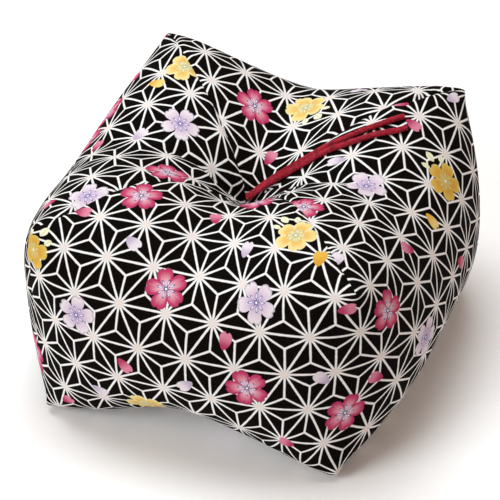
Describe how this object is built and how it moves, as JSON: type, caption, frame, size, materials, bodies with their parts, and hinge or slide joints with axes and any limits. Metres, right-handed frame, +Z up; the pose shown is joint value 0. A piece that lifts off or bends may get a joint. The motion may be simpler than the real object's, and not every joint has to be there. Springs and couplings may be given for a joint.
{
  "type": "seiza cushion",
  "caption": "Boxy filled floor cushion with four rounded lobes, its middle drawn in by a cord tie whose two ends lie on the top",
  "frame": {"origin": "middle of the cushion's footprint, on the surface that it rests on", "axes": "+Z up, the front looks along -Y, +X to the right of somebody who looks at the front"},
  "size_m": [0.3042, 0.3164, 0.1741],
  "materials": {
    "printed_cotton": "matt plain-weave cotton, black ground with an off-white hemp-leaf lattice and small blossoms",
    "red_braid": "softly shining crimson braid"
  },
  "bodies": {
    "root": {"cushion": "printed_cotton", "cord_strand_left": "red_braid", "cord_strand_right": "red_braid"}
  },
  "joints": []
}
